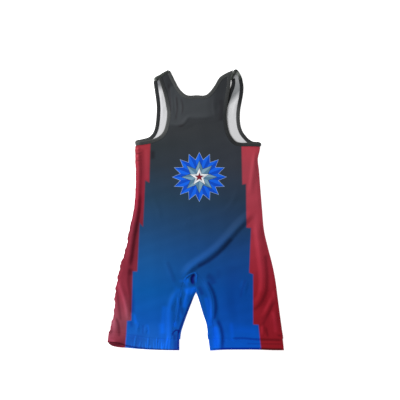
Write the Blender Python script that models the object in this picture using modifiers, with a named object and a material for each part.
"""Wrestling singlet laid flat, chest up: panels, inner legs, bindings, hems and shoulder seams.

Metres, +Z up.  +Y runs towards the shoulders and the back panel lies on Z = 0.
The tables and all lengths below are in millimetres, from the middle of the garment's box,
and become metres where a mesh is made.
"""
import math
from collections import namedtuple

import bmesh
import bpy
import numpy as np
from mathutils import Vector
from mathutils.geometry import delaunay_2d_cdt

COLLECTION = "wrestling_singlet"
MM = 0.001

# Cloth and sewing
CLOTH_WALL = 1.0
SEAM_GAP = 0.3
BINDING_WIDTH = 8.2
BINDING_THICKNESS = 2.0
BINDING_CHAMFER = 0.45
HEM_WALL = 1.6
HEM_GROUND_CLEARANCE = 0.03
HEM_REST_HEIGHT = HEM_WALL / 2 + HEM_GROUND_CLEARANCE
HEM_TURN = 1.2
HEM_ROWS = (0.0, 0.5, 1.0)
TURN_ANGLES = (36, 72, 108, 144)
SHOULDER_SEAM_THICKNESS = 4.6
SHOULDER_SEAM_CHAMFER = 1.0

# Heights of the cloth's middle surface above the ground
BACK_HEIGHT = CLOTH_WALL / 2
FRONT_EDGE_HEIGHT = CLOTH_WALL + SEAM_GAP + CLOTH_WALL / 2
FRONT_LAY_HEIGHT = 2.8
FRONT_OVER_BINDING_HEIGHT = 3.45
OVER_BINDING_REACH = 5.0
OVER_BINDING_FADE = 10.0
SIDE_ROLL = 11.0
ROLL_TOP = 150.0
HEM_CLEAR_STEPS = 2
FOLD_END_FADE = 36.0

# Spacing of mesh points
EDGE_STEP = 7.0
FRONT_STEP = 15.0
BACK_STEP = 30.0
PATH_STEP = 0.25
FOLD_STEP = 11.0
FINE_SHARE = 0.25
GUIDE_CLEARANCE = 0.35
GRID_CLEARANCE = 0.62
RIM_CLEARANCE = 0.8
FILL_INSIDE = 1
FILL_TOLERANCE = 1e-6
SHARP_ANGLE = 60

Station = namedtuple("Station", "across up")
Section = namedtuple("Section", "up left right")
Fold = namedtuple("Fold", "name height left_width right_width stations")
SeamEnd = namedtuple("SeamEnd", "start end")

SIDE_SEAMS = [
    Section(166, -145.5, 155.5),
    Section(146, -146.0, 153.3),
    Section(122, -146.0, 148.3),
    Section(96, -145.6, 150.8),
    Section(48, -146.5, 154.6),
    Section(0, -151.0, 158.6),
    Section(-50, -159.5, 163.3),
    Section(-96, -168.0, 174.0),
    Section(-132, -179.5, 183.2),
    Section(-165, -187.3, 189.8),
    Section(-205, -194.0, 195.3),
    Section(-240, -198.0, 199.8),
    Section(-274, -205.0, 204.4),
    Section(-298, -209.0, 207.6),
    Section(-318, -211.0, 210.0),
    Section(-338, -211.0, 211.5),
]

INSEAMS = [
    Section(-202, -1.0, -1.0),
    Section(-220, -10.5, 7.0),
    Section(-248, -22.5, 17.5),
    Section(-273, -31.0, 26.0),
    Section(-289, -36.0, 28.6),
    Section(-301, -38.6, 29.2),
    Section(-317, -39.6, 31.0),
    Section(-340, -41.0, 34.0),
]

INNER_LEG_SEAMS = [
    Section(-151, -4.0, -4.0),
    Section(-160, -18.0, 12.0),
    Section(-175, -30.0, 21.5),
    Section(-192, -36.0, 33.5),
    Section(-216, -41.0, 40.0),
    Section(-250, -47.0, 40.5),
    Section(-281, -54.0, 42.5),
    Section(-315, -58.5, 46.0),
]

CROTCH_SEAM = [
    Station(-4.0, -151),
    Station(-3.5, -167),
    Station(-1.5, -182),
    Station(0.0, -193),
    Station(-1.0, -202),
]

FRONT_NECK = [
    Station(-65, 339),
    Station(-56.3, 322),
    Station(-49.5, 308),
    Station(-37.5, 288),
    Station(-24, 276.5),
    Station(1, 275.5),
    Station(25, 276.8),
    Station(33.5, 284),
    Station(43.5, 297),
    Station(58, 319.5),
    Station(73, 328.8),
    Station(89, 335.6),
    Station(95, 338.4),
]

BACK_NECK = [
    Station(-65, 339),
    Station(-62, 302),
    Station(-65, 264),
    Station(-62, 226),
    Station(-50, 207),
    Station(-32, 208),
    Station(-12, 219),
    Station(14, 223),
    Station(43, 226),
    Station(58, 236),
    Station(67, 250),
    Station(72.5, 264),
    Station(78, 281),
    Station(82.5, 294),
    Station(84.8, 303),
    Station(84.6, 312),
    Station(83, 322),
]

FRONT_ARMHOLE_LEFT = [
    Station(-93, 325),
    Station(-88, 311),
    Station(-82, 291.5),
    Station(-77.5, 277),
    Station(-74.4, 262),
    Station(-71.7, 247),
    Station(-69.8, 232),
    Station(-70.2, 218),
    Station(-73, 203.5),
    Station(-77.3, 191),
    Station(-82.5, 183),
    Station(-91, 175.5),
    Station(-104, 170),
    Station(-120, 167),
    Station(-144.5, 163.5),
]

FRONT_ARMHOLE_RIGHT = [
    Station(84, 334),
    Station(82, 316),
    Station(81.3, 300),
    Station(80.3, 286),
    Station(77.5, 266),
    Station(75.3, 245),
    Station(73.8, 227),
    Station(74.8, 211),
    Station(77.8, 195),
    Station(82, 182.5),
    Station(88, 171.5),
    Station(95, 164.7),
    Station(104, 162),
    Station(126, 161.6),
    Station(153.5, 161),
]

BACK_ARMHOLE_LEFT = [
    Station(-101.5, 322),
    Station(-100.2, 304),
    Station(-97.7, 285),
    Station(-94.9, 265),
    Station(-93.4, 247),
    Station(-93.7, 230),
    Station(-95.3, 210),
    Station(-99.4, 191.5),
    Station(-103.5, 183.5),
    Station(-111, 176),
    Station(-126, 171.5),
    Station(-145.5, 169),
]

BACK_ARMHOLE_RIGHT = [
    Station(108.5, 328),
    Station(111, 313),
    Station(113.2, 298),
    Station(113, 284),
    Station(111, 269.5),
    Station(108.8, 256),
    Station(106.4, 241),
    Station(105.1, 227),
    Station(105.4, 213),
    Station(108, 198.5),
    Station(112.7, 187),
    Station(119.5, 177),
    Station(127.5, 170.5),
    Station(137, 167),
    Station(154.5, 166),
]

HEM_TOP_LEFT = [
    Station(-207.5, -292),
    Station(-182, -295.5),
    Station(-146, -302),
    Station(-110, -307.5),
    Station(-74, -310),
    Station(-41, -310),
]

HEM_BOTTOM_LEFT_FRONT = [
    Station(-211, -316.5),
    Station(-197, -316.5),
    Station(-184, -318),
    Station(-170, -324),
    Station(-149, -328.5),
    Station(-110, -332.5),
    Station(-74, -335),
    Station(-41, -336.5),
]

HEM_BOTTOM_LEFT_BACK = [
    Station(-210.5, -319),
    Station(-203, -325),
    Station(-190, -328.5),
    Station(-166, -330.5),
    Station(-138, -333.5),
    Station(-105, -336),
    Station(-74, -337),
    Station(-41, -337.5),
]

HEM_TOP_RIGHT = [
    Station(31, -310),
    Station(70, -309.5),
    Station(118, -309),
    Station(166, -309),
    Station(208, -308.5),
]

HEM_BOTTOM_RIGHT = [
    Station(34.5, -338),
    Station(53, -336.5),
    Station(103, -335.5),
    Station(154, -335.5),
    Station(187, -337),
    Station(211, -337),
]

LEFT_STRAP_END = SeamEnd(Station(-99.5, 311.6), Station(-68.3, 328.0))
RIGHT_FRONT_STRAP_END = SeamEnd(Station(89.4, 337), Station(83.6, 315.5))
RIGHT_FRONT_ARMHOLE_END = SeamEnd(Station(67.6, 316.6), Station(86.5, 325.1))
RIGHT_BACK_STRAP_END = SeamEnd(Station(80, 311.5), Station(120, 319.5))

LEFT_SHOULDER_SEAM = [Station(-98.0, 316.7), Station(-81.5, 325.4), Station(-64.6, 334.2)]
RIGHT_SHOULDER_SEAM = [
    Station(86.1, 314.6),
    Station(87.5, 320.5),
    Station(90.0, 327.5),
    Station(95.4, 335.4),
    Station(102, 328),
    Station(106.8, 318.2),
]
LEFT_SHOULDER_SEAM_WIDTH = 6.8
RIGHT_SHOULDER_SEAM_WIDTH = 5.4

# The back strap's end, turned up under the arch of the right shoulder seam
RIGHT_STRAP_TONGUE = [
    Station(92.3, 317),
    Station(93.2, 321.5),
    Station(95.2, 327.5),
    Station(97.6, 326.5),
    Station(100.5, 321),
    Station(102.4, 317.5),
]

FOLDS = [
    Fold("hip diagonal", 6.5, 36, 15, [
        Station(135, -15), Station(115, -34), Station(85, -60), Station(59, -81),
        Station(32, -104), Station(3, -127), Station(-19, -151), Station(-31, -172)]),
    Fold("belly crease", 1.3, 9, 9, [Station(-78, -110), Station(-62, -146), Station(-44, -186)]),
    Fold("left thigh ridge", 4.2, 20, 12, [
        Station(-32, -180), Station(-52, -206), Station(-68, -236), Station(-75, -270),
        Station(-76, -306)]),
    Fold("left inner ridge", 2.6, 7, 9, [
        Station(-34, -186), Station(-44, -214), Station(-46, -246), Station(-50, -280)]),
    Fold("right inner ridge", 4.6, 18, 11, [
        Station(14, -170), Station(27, -196), Station(34, -226), Station(35, -262),
        Station(46, -292), Station(56, -330)]),
    Fold("right thigh ridge", 2.0, 22, 22, [
        Station(66, -180), Station(78, -240), Station(88, -300)]),
    Fold("hip crease", 1.0, 8, 10, [Station(124, -160), Station(112, -212)]),
    Fold("right side ridge", 2.6, 14, 14, [
        Station(146, -30), Station(150, -90), Station(149, -150), Station(144, -210)]),
    Fold("right leg ridge", 2.2, 14, 16, [
        Station(178, -150), Station(180, -210), Station(182, -270)]),
    Fold("left side ridge", 2.4, 11, 14, [
        Station(-133, 60), Station(-139, 0), Station(-144, -70), Station(-150, -130)]),
    Fold("left leg ridge", 2.8, 13, 13, [
        Station(-190, -170), Station(-183, -205), Station(-171, -250), Station(-166, -290)]),
    Fold("left hem gape", 4.8, 26, 26, [
        Station(-186, -292), Station(-192, -316), Station(-196, -345)]),
    Fold("chest swell", 1.0, 40, 40, [Station(-30, 190), Station(20, 150), Station(30, 90)]),
    Fold("right underarm ridge", 1.6, 12, 9, [Station(141, 140), Station(134, 90), Station(128, 40)]),
]

COLOURS = {
    "front": (0.035, 0.09, 0.19, 1.0),
    "back": (0.03, 0.08, 0.17, 1.0),
    "inner leg": (0.02, 0.11, 0.50, 1.0),
    "binding": (0.014, 0.016, 0.018, 1.0),
    "hem": (0.015, 0.10, 0.45, 1.0),
    "seam": (0.03, 0.035, 0.035, 1.0),
}
CLOTH_ROUGHNESS = 0.62


def section_side(sections, side):
    """One side of a table of sections, as stations from top to bottom."""
    return [Station(getattr(row, side), row.up) for row in sections]


def smooth_path(stations, step=PATH_STEP):
    """Evenly spaced points on a smooth curve through the stations."""
    knots = np.array(stations, dtype=float)
    along = np.r_[0.0, np.cumsum(np.linalg.norm(np.diff(knots, axis=0), axis=1))]
    slopes = np.gradient(knots, along, axis=0)
    count = max(2, round(along[-1] / (step * FINE_SHARE)))
    places = np.linspace(0.0, along[-1], count + 1)
    piece = np.clip(np.searchsorted(along, places, side="right") - 1, 0, len(knots) - 2)
    span = (along[piece + 1] - along[piece])[:, None]
    t = (places - along[piece])[:, None] / span
    curve = (
        (2 * t**3 - 3 * t**2 + 1) * knots[piece]
        + (t**3 - 2 * t**2 + t) * span * slopes[piece]
        + (3 * t**2 - 2 * t**3) * knots[piece + 1]
        + (t**3 - t**2) * span * slopes[piece + 1]
    )
    return respaced(curve, step)


def respaced(points, step=None, count=None):
    """The same path with equal steps, as close to the asked step as its length allows."""
    along = np.r_[0.0, np.cumsum(np.linalg.norm(np.diff(points, axis=0), axis=1))]
    if count is None:
        count = max(1, round(along[-1] / step)) + 1
    places = np.linspace(0.0, along[-1], count)
    return np.column_stack([np.interp(places, along, points[:, k]) for k in range(points.shape[1])])


def left_of_travel(points):
    """Unit vectors square to a flat path, pointing to the left of its travel."""
    travel = np.gradient(points, axis=0)
    travel /= np.linalg.norm(travel, axis=1)[:, None]
    return np.column_stack([-travel[:, 1], travel[:, 0]])


def unit(vector):
    """The same direction, one long."""
    return vector / np.linalg.norm(vector)


def seam_direction(seam_end):
    """Unit vector along a seam line."""
    return unit(np.subtract(seam_end.end, seam_end.start))


def cut_by(points, seam_end):
    """A path without its part beyond a seam line; what lies below the line's own level stays."""
    line = seam_direction(seam_end)
    offset = points - np.array(seam_end.start)
    distance = offset[:, 0] * line[1] - offset[:, 1] * line[0]
    below = points[:, 1] < min(seam_end.start.up, seam_end.end.up)
    return points[(distance >= SEAM_GAP) | below]


def below_level(points, top):
    """The part of a path clear below a level."""
    return points[points[:, 1] < top - SEAM_GAP]


def distance_to_path(points, path):
    """Distance of each point to a path, signed positive on the left, and the way along it."""
    best = np.full(len(points), np.inf)
    sign = np.ones(len(points))
    along = np.zeros(len(points))
    walked = 0.0
    for start, end in zip(path[:-1], path[1:]):
        run = end - start
        length = np.linalg.norm(run)
        offset = points - start
        t = np.clip(offset @ run / length**2, 0.0, 1.0)
        gap = np.linalg.norm(offset - t[:, None] * run, axis=1)
        nearer = gap < best
        best[nearer] = gap[nearer]
        turn = run[0] * offset[:, 1] - run[1] * offset[:, 0]
        sign[nearer] = np.where(turn[nearer] >= 0, 1.0, -1.0)
        along[nearer] = walked + t[nearer] * length
        walked += length
    return best, sign, along, walked


def smooth_step(value):
    """0 below 0, 1 above 1, and a soft rise between."""
    value = np.clip(value, 0.0, 1.0)
    return value * value * (3.0 - 2.0 * value)


def fold_height(points, fold):
    """Height that one fold adds: a soft ridge with its own width on each side, faded at its ends."""
    gap, sign, along, length = distance_to_path(points, smooth_path(fold.stations, 6.0))
    width = np.where(sign > 0, fold.left_width, fold.right_width)
    fade = min(FOLD_END_FADE, length / 2)
    ends = smooth_step(along / fade) * smooth_step((length - along) / fade)
    return fold.height * (1.0 - smooth_step(gap / width)) * ends


class Edges:
    """The garment's edges as point paths, each worked out once and shared by the pieces that meet."""

    def __init__(self):
        self.neck_front = self.binding(FRONT_NECK, -1, LEFT_STRAP_END, RIGHT_FRONT_STRAP_END)
        self.neck_back = self.binding(BACK_NECK, -1, LEFT_STRAP_END, RIGHT_BACK_STRAP_END)
        self.arm_front_left = self.binding(FRONT_ARMHOLE_LEFT, 1, LEFT_STRAP_END)
        self.arm_back_left = self.binding(BACK_ARMHOLE_LEFT, 1, LEFT_STRAP_END)
        self.arm_front_right = self.binding(FRONT_ARMHOLE_RIGHT, -1, RIGHT_FRONT_ARMHOLE_END)
        self.arm_back_right = self.binding(BACK_ARMHOLE_RIGHT, -1, RIGHT_BACK_STRAP_END)
        self.crotch = smooth_path(CROTCH_SEAM, EDGE_STEP)
        self.hem_left = smooth_path(HEM_TOP_LEFT, EDGE_STEP)
        self.hem_right = smooth_path(HEM_TOP_RIGHT, EDGE_STEP)
        self.side_left = self.down_to_hem(SIDE_SEAMS, "left", self.hem_left)
        self.side_right = self.down_to_hem(SIDE_SEAMS, "right", self.hem_right)
        self.inseam_left = self.down_to_hem(INSEAMS, "left", self.hem_left)
        self.inseam_right = self.down_to_hem(INSEAMS, "right", self.hem_right)
        self.leg_seam_left = self.down_to_hem(INNER_LEG_SEAMS, "left", self.hem_left)
        self.leg_seam_right = self.down_to_hem(INNER_LEG_SEAMS, "right", self.hem_right)

    @staticmethod
    def binding(stations, cloth_side, first_seam, last_seam=None):
        """Centre points of a binding and its vectors into the cloth, its ends cut along the seams."""
        dense = smooth_path(stations)
        centre = cut_by(dense + cloth_side * left_of_travel(dense) * BINDING_WIDTH / 2, first_seam)
        if last_seam:
            centre = cut_by(centre, last_seam)
        centre = respaced(centre, EDGE_STEP)
        into_cloth = cloth_side * left_of_travel(centre)
        for end, seam in ((0, first_seam), (-1, last_seam)):
            if seam:
                line = seam_direction(seam)
                into_cloth[end] = line / np.dot(line, into_cloth[end])
        return centre, into_cloth

    @staticmethod
    def down_to_hem(sections, side, hem):
        """A lengthwise edge from its top to just above a hem's top edge."""
        path = smooth_path(section_side(sections, side))
        level = np.interp(path[:, 0], hem[:, 0], hem[:, 1]) + SEAM_GAP
        return respaced(path[path[:, 1] > level], EDGE_STEP)

    @staticmethod
    def inside(binding):
        """Edge of the panel that a binding finishes."""
        centre, into_cloth = binding
        return centre + into_cloth * (BINDING_WIDTH / 2 + SEAM_GAP)


EDGES = Edges()


def rolled_edges():
    """The side and inner-leg edges where the front comes down to the back, short of the hems."""
    edges = (EDGES.side_left, EDGES.side_right, EDGES.inseam_left, EDGES.inseam_right)
    return [below_level(edge, ROLL_TOP)[:-HEM_CLEAR_STEPS] for edge in edges]


def front_height(points):
    """Height of the front's middle surface over the ground at flat points."""
    over_binding = np.full(len(points), np.inf)
    for centre, _ in (EDGES.neck_back, EDGES.arm_back_left, EDGES.arm_back_right):
        over_binding = np.minimum(over_binding, distance_to_path(points, centre)[0])
    raised = 1.0 - smooth_step((over_binding - OVER_BINDING_REACH) / OVER_BINDING_FADE)
    height = FRONT_LAY_HEIGHT + (FRONT_OVER_BINDING_HEIGHT - FRONT_LAY_HEIGHT) * raised
    for fold in FOLDS:
        height = height + fold_height(points, fold)
    to_edge = np.full(len(points), np.inf)
    for edge in rolled_edges():
        to_edge = np.minimum(to_edge, distance_to_path(points, edge)[0])
    inside = smooth_step(to_edge / SIDE_ROLL)
    return FRONT_EDGE_HEIGHT + (height - FRONT_EDGE_HEIGHT) * inside


def back_height(points):
    """Height of the back's middle surface: flat on the ground."""
    return np.full(len(points), BACK_HEIGHT)


def inside_outline(points, outline):
    """Which points lie inside a closed outline."""
    hit = np.zeros(len(points), dtype=bool)
    for start, end in zip(outline, np.roll(outline, -1, axis=0)):
        spans = (start[1] > points[:, 1]) != (end[1] > points[:, 1])
        if spans.any():
            crossing = start[0] + (points[:, 1] - start[1]) * (end[0] - start[0]) / (end[1] - start[1])
            hit ^= spans & (points[:, 0] < crossing)
    return hit


def spread_points(outline, step, guides):
    """Points inside an outline: guide points first, then an even spread clear of them."""
    low = outline.min(axis=0)
    high = outline.max(axis=0)
    rows = np.arange(low[1], high[1], step * math.sqrt(3) / 2)
    grid = [
        (x + (k % 2) * step / 2, y)
        for k, y in enumerate(rows)
        for x in np.arange(low[0], high[0], step)
    ]
    kept = []
    for candidates, share in ((guides, GUIDE_CLEARANCE), (grid, GRID_CLEARANCE)):
        clearance = share * step
        points = np.array(candidates, dtype=float).reshape(-1, 2)
        points = points[inside_outline(points, outline)]
        closed = np.vstack([outline, outline[:1]])
        points = points[distance_to_path(points, closed)[0] > clearance * RIM_CLEARANCE]
        for point in points:
            if all(math.dist(point, other) > clearance for other in kept):
                kept.append(point)
    return np.array(kept).reshape(-1, 2)


def fold_guides():
    """Points along each large fold's crest and down its sides, so that a coarse mesh keeps it."""
    least_height = 2.3
    guides = []
    for fold in FOLDS:
        if fold.height < least_height:
            continue
        crest = smooth_path(fold.stations, FOLD_STEP)
        left = left_of_travel(crest)
        for share in (0.0, 0.5, 1.0):
            guides.extend(crest + left * fold.left_width * share)
            guides.extend(crest - left * fold.right_width * share)
    return guides


def new_object(name, mesh, colour):
    """Put a mesh in the singlet's collection with its own cloth material."""
    material = bpy.data.materials.new(name)
    material.use_nodes = True
    shader = material.node_tree.nodes["Principled BSDF"]
    shader.inputs["Base Color"].default_value = COLOURS[colour]
    shader.inputs["Roughness"].default_value = CLOTH_ROUGHNESS
    shader.inputs["Metallic"].default_value = 0.0
    mesh.materials.append(material)
    piece = bpy.data.objects.new(name, mesh)
    bpy.data.collections[COLLECTION].objects.link(piece)
    return piece


def add_wall(piece, thickness):
    """Give an open surface an even wall about its middle."""
    wall = piece.modifiers.new("Cloth wall", "SOLIDIFY")
    wall.thickness = thickness * MM
    wall.offset = 0.0
    wall.use_even_offset = True


def panel(name, edges, height, step, colour, guides=()):
    """A flat-cut piece of cloth: the edges in order round it, filled and laid at its height."""
    outline = np.vstack(edges)
    steps = np.linalg.norm(outline - np.roll(outline, 1, axis=0), axis=1)
    outline = outline[steps > SEAM_GAP]
    points = np.vstack([outline, spread_points(outline, step, guides)])
    count = len(outline)
    rim = [(k, (k + 1) % count) for k in range(count)]
    flat, _, faces, *_ = delaunay_2d_cdt(
        [Vector(point) for point in points], rim, [list(range(count))], FILL_INSIDE, FILL_TOLERANCE
    )
    flat = np.array([tuple(point) for point in flat])
    heights = height(flat)
    mesh = bpy.data.meshes.new(name)
    mesh.from_pydata(
        [(x * MM, y * MM, z * MM) for (x, y), z in zip(flat, heights)], [], [list(f) for f in faces]
    )
    mesh.shade_smooth()
    piece = new_object(name, mesh, colour)
    add_wall(piece, CLOTH_WALL)
    return piece


def chamfered_section(width, thickness, chamfer):
    """Corners of a strip's section: across its width and along its normal."""
    half_w = width / 2
    half_t = thickness / 2
    return [
        (half_w, half_t - chamfer), (half_w - chamfer, half_t),
        (chamfer - half_w, half_t), (-half_w, half_t - chamfer),
        (-half_w, chamfer - half_t), (chamfer - half_w, -half_t),
        (half_w - chamfer, -half_t), (half_w, chamfer - half_t),
    ]


def sweep(name, centre, across, normal, section, colour):
    """A strip with one section carried along its centre points, closed at both ends."""
    form = bmesh.new()
    rings = []
    for point, wide, out in zip(centre, across, normal):
        rings.append([form.verts.new((point + wide * a + out * b) * MM) for a, b in section])
    sides = len(section)
    for ring, following in zip(rings[:-1], rings[1:]):
        for k in range(sides):
            form.faces.new((ring[k], ring[(k + 1) % sides], following[(k + 1) % sides], following[k]))
    form.faces.new(rings[0][::-1])
    form.faces.new(rings[-1])
    bmesh.ops.recalc_face_normals(form, faces=form.faces)
    mesh = bpy.data.meshes.new(name)
    form.to_mesh(mesh)
    form.free()
    mesh.shade_smooth()
    mesh.set_sharp_from_angle(angle=math.radians(SHARP_ANGLE))
    return new_object(name, mesh, colour)


def lifted(flat, heights):
    """Flat points with their heights."""
    return np.column_stack([flat, heights])


def neck_binding(name, binding, height):
    """The strip folded round one neckline."""
    centre, into_cloth = binding
    across = np.column_stack([into_cloth, np.zeros(len(centre))])
    normal = np.tile((0.0, 0.0, 1.0), (len(centre), 1))
    section = chamfered_section(BINDING_WIDTH, BINDING_THICKNESS, BINDING_CHAMFER)
    return sweep(name, lifted(centre, height(centre)), across, normal, section, "binding")


def back_binding_height(points):
    """Height of a back binding's middle: flat on the ground."""
    return np.full(len(points), BINDING_THICKNESS / 2)


def turned_under(start, end, reach):
    """Points from the edge of one layer round to the edge of the layer beneath it."""
    middle = (start + end) / 2
    half = (start - end) / 2
    bulge = np.array((reach, 0.0, 0.0))
    return [
        middle + half * math.cos(angle) + bulge * math.sin(angle)
        for angle in np.radians(TURN_ANGLES)
    ]


def armhole_binding(name, front, back, outward):
    """One strip down the front armhole, round the side corner and up the back armhole."""
    front_centre, front_across = front
    back_centre, back_across = back
    top = lifted(front_centre, front_height(front_centre))
    ground = lifted(back_centre, back_binding_height(back_centre))[::-1]
    turn = turned_under(top[-1], ground[0], outward * (top[-1, 2] - ground[0, 2]) / 2)
    centre = np.vstack([top, turn, ground])
    share = np.linspace(0, 1, len(turn) + 2)[1:-1, None]
    flat_across = np.vstack([
        front_across, front_across[-1] * (1 - share) + back_across[-1] * share, back_across[::-1]])
    across = np.column_stack([flat_across, np.zeros(len(centre))])
    travel = np.gradient(centre, axis=0)
    normal = outward * np.cross(across, travel)
    normal /= np.linalg.norm(normal, axis=1)[:, None]
    first_back = len(top) + len(turn)
    normal[: len(top)] = (0.0, 0.0, 1.0)
    normal[first_back:] = (0.0, 0.0, -1.0)
    section = chamfered_section(BINDING_WIDTH, BINDING_THICKNESS, BINDING_CHAMFER)
    return sweep(name, centre, across, normal, section, "binding")


def shoulder_seam(name, stations, width):
    """The overlocked seam that joins the front and back straps, a thick ridge across their ends."""
    centre = smooth_path(stations, EDGE_STEP / 2)
    across = np.column_stack([left_of_travel(centre), np.zeros(len(centre))])
    normal = np.tile((0.0, 0.0, 1.0), (len(centre), 1))
    heights = np.full(len(centre), SHOULDER_SEAM_THICKNESS / 2)
    section = chamfered_section(width, SHOULDER_SEAM_THICKNESS, SHOULDER_SEAM_CHAMFER)
    return sweep(name, lifted(centre, heights), across, normal, section, "seam")


def leg_hem(name, top_stations, front_stations, back_stations):
    """The turned hem of one leg: a flattened ring of double cloth, top edge to bottom edge."""
    top = smooth_path(top_stations)
    count = round(np.linalg.norm(top[-1] - top[0]) / EDGE_STEP) + 1
    inset = HEM_TURN + HEM_WALL / 2
    top[:, 0] = np.clip(top[:, 0], top[0, 0] + inset, top[-1, 0] - inset)
    top = respaced(top, count=count)
    rows = []
    for share in HEM_ROWS:
        sides = []
        for stations in (front_stations, back_stations):
            bottom = smooth_path(stations)
            bottom[:, 0] = np.clip(bottom[:, 0], bottom[0, 0] + inset, bottom[-1, 0] - inset)
            bottom = respaced(bottom, count=count)
            sides.append(top * (1 - share) + bottom * share)
        rows.append(hem_ring(*sides))
    around = len(rows[0])
    corners = np.vstack(rows) * MM
    faces = [
        (r * around + k, (r + 1) * around + k,
         (r + 1) * around + (k + 1) % around, r * around + (k + 1) % around)
        for r in range(len(rows) - 1)
        for k in range(around)
    ]
    mesh = bpy.data.meshes.new(name)
    mesh.from_pydata([tuple(corner) for corner in corners], [], faces)
    mesh.shade_smooth()
    piece = new_object(name, mesh, "hem")
    add_wall(piece, HEM_WALL)
    return piece


def hem_ring(front, back):
    """One loop round a hem: across the front, round the end, back underneath and up again."""
    least = HEM_REST_HEIGHT + HEM_WALL + SEAM_GAP
    upper = lifted(front, np.maximum(front_height(front), least))
    lower = lifted(back, np.full(len(back), HEM_REST_HEIGHT))[::-1]
    right_turn = turned_under(upper[-1], lower[0], HEM_TURN)
    left_turn = turned_under(lower[-1], upper[0], -HEM_TURN)
    return np.vstack([upper, right_turn, lower, left_turn])


def hem_side(hem, from_left):
    """The panel's bottom edge over a hem, in the order asked."""
    edge = hem + (0.0, SEAM_GAP)
    return edge if from_left else edge[::-1]


def front_panel():
    """The chest and leg fronts in one cut, up to both shoulder seams."""
    half_gap = SEAM_GAP / 2
    seam_left = EDGES.leg_seam_left - (half_gap, 0.0)
    seam_right = EDGES.leg_seam_right + (half_gap, 0.0)
    arm_left = Edges.inside(EDGES.arm_front_left)
    arm_right = Edges.inside(EDGES.arm_front_right)
    apex = EDGES.crotch[:1] + (0.0, half_gap)
    hem_left = EDGES.hem_left[EDGES.hem_left[:, 0] < seam_left[-1, 0] - SEAM_GAP]
    hem_right = EDGES.hem_right[EDGES.hem_right[:, 0] > seam_right[-1, 0] + SEAM_GAP]
    neck = Edges.inside(EDGES.neck_front)
    return panel("front_panel", [
        neck[neck[:, 0] < arm_right[0, 0] - SEAM_GAP],
        arm_right,
        below_level(EDGES.side_right, arm_right[-1, 1]),
        hem_side(hem_right, False)[1:],
        seam_right[:0:-1],
        apex,
        seam_left[1:],
        hem_side(hem_left, False)[:-1],
        below_level(EDGES.side_left, arm_left[-1, 1])[::-1],
        arm_left[::-1],
    ], front_height, FRONT_STEP, "front", fold_guides())


def back_panel():
    """The seat and leg backs in one cut, flat on the ground."""
    arm_left = Edges.inside(EDGES.arm_back_left)
    arm_right = Edges.inside(EDGES.arm_back_right)
    return panel("back_panel", [
        Edges.inside(EDGES.neck_back),
        np.array(RIGHT_STRAP_TONGUE),
        arm_right,
        below_level(EDGES.side_right, arm_right[-1, 1]),
        hem_side(EDGES.hem_right, False)[1:-1],
        EDGES.inseam_right[::-1],
        EDGES.inseam_left[1:],
        hem_side(EDGES.hem_left, False)[1:-1],
        below_level(EDGES.side_left, arm_left[-1, 1])[::-1],
        arm_left[::-1],
    ], back_height, BACK_STEP, "back")


def inner_leg(name, seam, inseam, hem, away):
    """The strip inside one leg, from its seam with the front to the fold of the inseam."""
    half_gap = SEAM_GAP / 2
    outer = seam - (away * half_gap, 0.0)
    crotch = EDGES.crotch + (away * half_gap, 0.0)
    tip_clearance = 2.5 * SEAM_GAP
    tip = EDGES.crotch[0] + tip_clearance * unit(
        unit(outer[1] - EDGES.crotch[0]) + unit(crotch[1] - EDGES.crotch[0]))
    low = min(outer[-1, 0], inseam[-1, 0]) + SEAM_GAP
    high = max(outer[-1, 0], inseam[-1, 0]) - SEAM_GAP
    bottom = hem_side(hem[(hem[:, 0] > low) & (hem[:, 0] < high)], away < 0)
    return panel(name, [
        tip[None],
        outer[1:],
        bottom,
        inseam[:0:-1],
        crotch[:0:-1],
    ], front_height, FRONT_STEP, "inner leg", fold_guides())


def build():
    """Make every piece of the singlet."""
    front_panel()
    back_panel()
    inner_leg("inner_leg_left", EDGES.leg_seam_left, EDGES.inseam_left, EDGES.hem_left, -1)
    inner_leg("inner_leg_right", EDGES.leg_seam_right, EDGES.inseam_right, EDGES.hem_right, 1)
    neck_binding("neck_binding_front", EDGES.neck_front, front_height)
    neck_binding("neck_binding_back", EDGES.neck_back, back_binding_height)
    armhole_binding("armhole_binding_left", EDGES.arm_front_left, EDGES.arm_back_left, -1)
    armhole_binding("armhole_binding_right", EDGES.arm_front_right, EDGES.arm_back_right, 1)
    leg_hem("leg_hem_left", HEM_TOP_LEFT, HEM_BOTTOM_LEFT_FRONT, HEM_BOTTOM_LEFT_BACK)
    leg_hem("leg_hem_right", HEM_TOP_RIGHT, HEM_BOTTOM_RIGHT, HEM_BOTTOM_RIGHT)
    shoulder_seam("shoulder_seam_left", LEFT_SHOULDER_SEAM, LEFT_SHOULDER_SEAM_WIDTH)
    shoulder_seam("shoulder_seam_right", RIGHT_SHOULDER_SEAM, RIGHT_SHOULDER_SEAM_WIDTH)


for leftover in list(bpy.data.objects):
    bpy.data.objects.remove(leftover)
bpy.context.scene.collection.children.link(bpy.data.collections.new(COLLECTION))
build()
